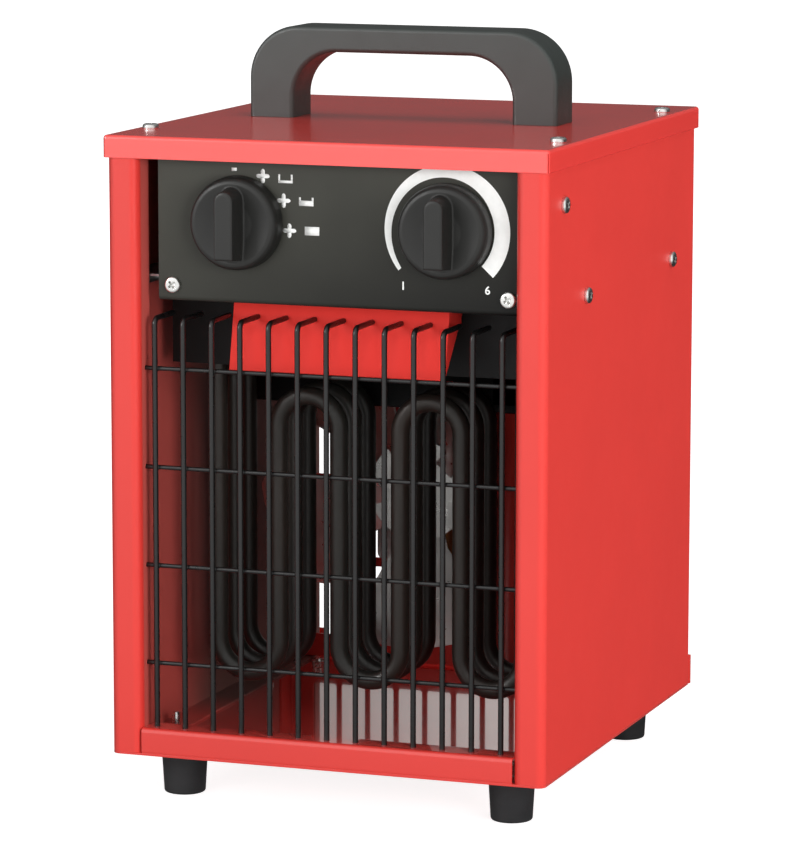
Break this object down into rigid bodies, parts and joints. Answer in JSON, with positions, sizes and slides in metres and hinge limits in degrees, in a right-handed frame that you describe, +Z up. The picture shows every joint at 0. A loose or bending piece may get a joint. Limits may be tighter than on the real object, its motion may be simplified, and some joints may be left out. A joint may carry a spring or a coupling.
{
  "type": "forced air heater",
  "caption": "Portable electric fan heater: folded red steel case with a wire grille over tubular elements, axial fan behind, rotary knobs and an arched carrying handle.",
  "frame": {"origin": "on the floor below the middle of the overall box, knobs and rear screw heads included", "axes": "+Z up, +Y towards the back, -Y out of the grille, +X to the right for someone facing the grille"},
  "size_m": [0.2094, 0.2464, 0.3444],
  "materials": {
    "red_enamel": "glossy powder coat",
    "rear_enamel": "glossy powder coat",
    "black_enamel": "satin powder coat",
    "black_wire": "gloss coating on steel wire",
    "element_sheath": "dark oxidised tube",
    "galvanised_steel": "dull zinc sheet",
    "zinc_fastener": "bright zinc plate",
    "turned_steel": "turned",
    "fan_sheet": "mill finish sheet",
    "core_steel": "varnished laminations",
    "coil_wrap": "taped winding",
    "handle_plastic": "fine matte moulding",
    "knob_plastic": "satin moulding",
    "insulating_plastic": "matte moulding",
    "insulator_ceramic": "unglazed ceramic",
    "black_rubber": "moulded rubber"
  },
  "bodies": {
    "housing": {"base_screws": "zinc_fastener", "base_tray": "red_enamel", "bracket_screws": "zinc_fastener", "cable_grommet": "black_rubber", "carry_handle": "handle_plastic", "control_chassis": "galvanised_steel", "control_fascia": "black_enamel", "element_bushings": "zinc_fastener", "element_insulators": "insulator_ceramic", "element_terminals": "zinc_fastener", "fascia_screws": "zinc_fastener", "feet": "black_rubber", "foot_nuts": "zinc_fastener", "foot_screws": "zinc_fastener", "front_grille": "black_wire", "handle_screws": "zinc_fastener", "heat_deflector": "red_enamel", "heat_shield": "black_enamel", "heating_element_front": "element_sheath", "heating_element_middle": "element_sheath", "heating_element_rear": "element_sheath", "lid_screws": "zinc_fastener", "motor_bearing_front": "galvanised_steel", "motor_bearing_rear": "galvanised_steel", "motor_bracket": "galvanised_steel", "motor_coil": "coil_wrap", "motor_nuts": "zinc_fastener", "motor_screws": "zinc_fastener", "motor_standoffs": "zinc_fastener", "motor_stator": "core_steel", "rear_panel": "rear_enamel", "rear_screws": "zinc_fastener", "selector_switch": "insulating_plastic", "side_panel_left": "red_enamel", "side_panel_right": "red_enamel", "side_screws": "zinc_fastener", "terminal_block": "insulating_plastic", "terminal_screws": "zinc_fastener", "thermal_cutout": "galvanised_steel", "thermostat": "insulating_plastic", "top_cover": "red_enamel"},
    "selector_control": {"selector_knob": "knob_plastic", "selector_spindle": "turned_steel"},
    "thermostat_control": {"thermostat_knob": "knob_plastic", "thermostat_spindle": "turned_steel"},
    "fan_rotor": {"fan_blades": "fan_sheet", "fan_hub": "turned_steel", "fan_nut": "zinc_fastener", "motor_shaft": "turned_steel", "motor_rotor": "core_steel"}
  },
  "joints": [
    {"name": "selector_turn", "type": "hinge", "parent": "housing", "child": "selector_control", "pos_m": [-0.0425, -0.1037, 0.2645], "axis": [0, 1, 0], "range_deg": [0, 96]},
    {"name": "thermostat_turn", "type": "hinge", "parent": "housing", "child": "thermostat_control", "pos_m": [0.0545, -0.1037, 0.2645], "axis": [0, 1, 0], "range_deg": [-135, 135]},
    {"name": "fan_spin", "type": "hinge", "parent": "housing", "child": "fan_rotor", "pos_m": [0, 0.01405, 0.128], "axis": [0, 1, 0], "continuous": true}
  ]
}
